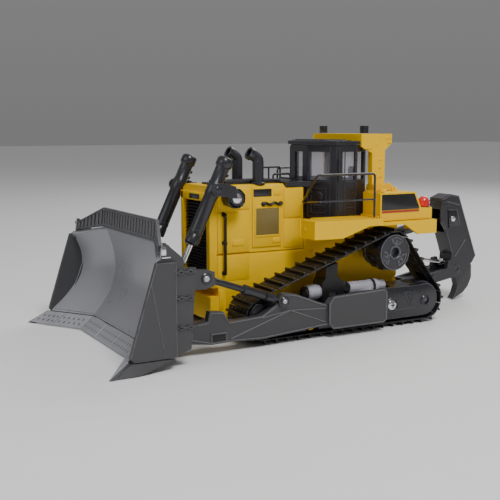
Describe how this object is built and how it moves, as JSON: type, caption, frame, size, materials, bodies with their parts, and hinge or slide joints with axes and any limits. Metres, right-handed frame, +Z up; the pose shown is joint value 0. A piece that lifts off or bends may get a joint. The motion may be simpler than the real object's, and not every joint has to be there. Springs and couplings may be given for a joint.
{
  "type": "toy bulldozer",
  "caption": "Tracked crawler toy with a wide curved front blade on hinged arms, high-drive tracks, cab, handrails, roll-over frame and a hinged rear ripper.",
  "frame": {"origin": "on the ground, under the middle of the bounding box", "axes": "+X forward towards the blade, +Y to the driver's left, +Z up"},
  "size_m": [0.2232, 0.1094, 0.091],
  "materials": {
    "painted_yellow": "satin yellow enamel",
    "charcoal_plastic": "satin charcoal",
    "black_plastic": "matt black",
    "track_plastic": "matt black, slightly soft",
    "gunmetal_paint": "dark grey enamel with worn edges",
    "blade_grey": "satin blue-grey",
    "plated_silver": "bright plated",
    "red_lens": "glossy red",
    "cab_glass": "clear plastic with a faint lilac tint"
  },
  "bodies": {
    "machine": {"chassis_tub": "painted_yellow", "hood_shell": "painted_yellow", "fuel_tank": "painted_yellow", "rops_frame": "painted_yellow", "fender_l": "painted_yellow", "fender_r": "painted_yellow", "hood_top_deck": "charcoal_plastic", "hood_handrail": "charcoal_plastic", "cab_shell": "charcoal_plastic", "cab_roof": "charcoal_plastic", "exhaust_stack_l": "charcoal_plastic", "exhaust_stack_r": "charcoal_plastic", "lift_yoke_l": "charcoal_plastic", "lift_yoke_r": "charcoal_plastic", "platform_handrail_l": "charcoal_plastic", "platform_handrail_r": "charcoal_plastic", "rops_light_l": "charcoal_plastic", "rops_light_r": "charcoal_plastic", "track_frame_l": "charcoal_plastic", "track_frame_r": "charcoal_plastic", "radiator_grille": "black_plastic", "operator_seat": "black_plastic", "side_grab_handle_l": "black_plastic", "side_grab_handle_r": "black_plastic", "carrier_bracket_l": "black_plastic", "carrier_bracket_r": "black_plastic", "track_belt_l": "track_plastic", "track_belt_r": "track_plastic", "recoil_tube_l": "plated_silver", "recoil_tube_r": "plated_silver", "tail_lamp_l": "red_lens", "tail_lamp_r": "red_lens", "cab_glazing": "cab_glass"},
    "sprocket_l": {"sprocket_l": "charcoal_plastic"},
    "rear_idler_l": {"rear_idler_l": "charcoal_plastic"},
    "front_idler_l": {"front_idler_l": "charcoal_plastic"},
    "track_roller_l1": {"track_roller_l1": "painted_yellow"},
    "track_roller_l2": {"track_roller_l2": "painted_yellow"},
    "lift_barrel_l": {"lift_barrel_l": "charcoal_plastic"},
    "lift_rod_l": {"lift_rod_l": "plated_silver"},
    "sprocket_r": {"sprocket_r": "charcoal_plastic"},
    "rear_idler_r": {"rear_idler_r": "charcoal_plastic"},
    "front_idler_r": {"front_idler_r": "charcoal_plastic"},
    "track_roller_r1": {"track_roller_r1": "painted_yellow"},
    "track_roller_r2": {"track_roller_r2": "painted_yellow"},
    "lift_barrel_r": {"lift_barrel_r": "charcoal_plastic"},
    "lift_rod_r": {"lift_rod_r": "plated_silver"},
    "blade": {"moldboard": "blade_grey", "cutting_edge": "blade_grey", "spill_guard": "gunmetal_paint", "push_arm_l": "gunmetal_paint", "push_arm_r": "gunmetal_paint", "tilt_brace_l": "charcoal_plastic", "tilt_brace_r": "charcoal_plastic"},
    "ripper_arm": {"ripper_arm": "charcoal_plastic"},
    "ripper_carriage": {"ripper_carriage": "charcoal_plastic", "ripper_shank": "gunmetal_paint"},
    "ripper_tilt_link": {"ripper_tilt_link": "charcoal_plastic"},
    "ripper_lift_barrel": {"ripper_lift_barrel": "charcoal_plastic"},
    "ripper_lift_rod": {"ripper_lift_rod": "plated_silver"}
  },
  "joints": [
    {"name": "sprocket_spin_l", "type": "hinge", "parent": "machine", "child": "sprocket_l", "pos_m": [-0.0324, 0.028, 0.0341], "axis": [0, 1, 0], "continuous": true},
    {"name": "rear_idler_spin_l", "type": "hinge", "parent": "machine", "child": "rear_idler_l", "pos_m": [-0.051, 0.028, 0.0109], "axis": [0, 1, 0], "continuous": true},
    {"name": "front_idler_spin_l", "type": "hinge", "parent": "machine", "child": "front_idler_l", "pos_m": [0.0356, 0.028, 0.0109], "axis": [0, 1, 0], "continuous": true},
    {"name": "track_roller_spin_l1", "type": "hinge", "parent": "machine", "child": "track_roller_l1", "pos_m": [-0.0245, 0.028, 0.0053], "axis": [0, 1, 0], "continuous": true},
    {"name": "track_roller_spin_l2", "type": "hinge", "parent": "machine", "child": "track_roller_l2", "pos_m": [0.0115, 0.028, 0.0053], "axis": [0, 1, 0], "continuous": true},
    {"name": "sprocket_spin_r", "type": "hinge", "parent": "machine", "child": "sprocket_r", "pos_m": [-0.0324, -0.028, 0.0341], "axis": [0, 1, 0], "continuous": true},
    {"name": "rear_idler_spin_r", "type": "hinge", "parent": "machine", "child": "rear_idler_r", "pos_m": [-0.051, -0.028, 0.0109], "axis": [0, 1, 0], "continuous": true},
    {"name": "front_idler_spin_r", "type": "hinge", "parent": "machine", "child": "front_idler_r", "pos_m": [0.0356, -0.028, 0.0109], "axis": [0, 1, 0], "continuous": true},
    {"name": "track_roller_spin_r1", "type": "hinge", "parent": "machine", "child": "track_roller_r1", "pos_m": [-0.0245, -0.028, 0.0053], "axis": [0, 1, 0], "continuous": true},
    {"name": "track_roller_spin_r2", "type": "hinge", "parent": "machine", "child": "track_roller_r2", "pos_m": [0.0115, -0.028, 0.0053], "axis": [0, 1, 0], "continuous": true},
    {"name": "blade_lift", "type": "hinge", "parent": "machine", "child": "blade", "pos_m": [-0.0085, 0, 0.0115], "axis": [0, -1, 0], "range_deg": [0, 12]},
    {"name": "lift_barrel_swing_l", "type": "hinge", "parent": "machine", "child": "lift_barrel_l", "pos_m": [0.05035, 0.0176, 0.0644], "axis": [0, -1, 0], "range_deg": [-0.2, 7.2]},
    {"name": "lift_rod_slide_l", "type": "slide", "parent": "lift_barrel_l", "child": "lift_rod_l", "axis": [0.4334, 0, -0.9012], "range_m": [-0.0166, 0.0002]},
    {"name": "lift_barrel_swing_r", "type": "hinge", "parent": "machine", "child": "lift_barrel_r", "pos_m": [0.05035, -0.0176, 0.0644], "axis": [0, -1, 0], "range_deg": [-0.2, 7.2]},
    {"name": "lift_rod_slide_r", "type": "slide", "parent": "lift_barrel_r", "child": "lift_rod_r", "axis": [0.4334, 0, -0.9012], "range_m": [-0.0166, 0.0002]},
    {"name": "ripper_lift", "type": "hinge", "parent": "machine", "child": "ripper_arm", "pos_m": [-0.057, 0, 0.0095], "axis": [0, 1, 0], "range_deg": [0, 20]},
    {"name": "ripper_carriage_pivot", "type": "hinge", "parent": "ripper_arm", "child": "ripper_carriage", "pos_m": [-0.097, 0, 0.0165], "axis": [0, 1, 0], "range_deg": [-20.5, 0.5]},
    {"name": "ripper_tilt_link_pivot", "type": "hinge", "parent": "machine", "child": "ripper_tilt_link", "pos_m": [-0.0538, 0, 0.0365], "axis": [0, 1, 0], "range_deg": [-0.5, 20.5]},
    {"name": "ripper_barrel_swing", "type": "hinge", "parent": "machine", "child": "ripper_lift_barrel", "pos_m": [-0.054, 0, 0.0265], "axis": [0, 1, 0], "range_deg": [-0.5, 19]},
    {"name": "ripper_rod_slide", "type": "slide", "parent": "ripper_lift_barrel", "child": "ripper_lift_rod", "axis": [-0.9885, 0, -0.1515], "range_m": [-0.0062, 0.0002]}
  ],
  "couplings": [
    {"joint": "rear_idler_spin_l", "follows": "sprocket_spin_l", "ratio": 1.0353},
    {"joint": "front_idler_spin_l", "follows": "sprocket_spin_l", "ratio": 1.0353},
    {"joint": "track_roller_spin_l1", "follows": "sprocket_spin_l", "ratio": 3.52},
    {"joint": "track_roller_spin_l2", "follows": "sprocket_spin_l", "ratio": 3.52},
    {"joint": "rear_idler_spin_r", "follows": "sprocket_spin_r", "ratio": 1.0353},
    {"joint": "front_idler_spin_r", "follows": "sprocket_spin_r", "ratio": 1.0353},
    {"joint": "track_roller_spin_r1", "follows": "sprocket_spin_r", "ratio": 3.52},
    {"joint": "track_roller_spin_r2", "follows": "sprocket_spin_r", "ratio": 3.52},
    {"joint": "lift_barrel_swing_l", "follows": "blade_lift", "ratio": 0.56083},
    {"joint": "lift_rod_slide_l", "follows": "blade_lift", "m_per_rad": -0.076855},
    {"joint": "lift_barrel_swing_r", "follows": "blade_lift", "ratio": 0.56083},
    {"joint": "lift_rod_slide_r", "follows": "blade_lift", "m_per_rad": -0.076855},
    {"joint": "ripper_carriage_pivot", "follows": "ripper_lift", "ratio": -1},
    {"joint": "ripper_tilt_link_pivot", "follows": "ripper_lift", "ratio": 1},
    {"joint": "ripper_barrel_swing", "follows": "ripper_lift", "ratio": 0.90563},
    {"joint": "ripper_rod_slide", "follows": "ripper_lift", "m_per_rad": -0.016845}
  ]
}
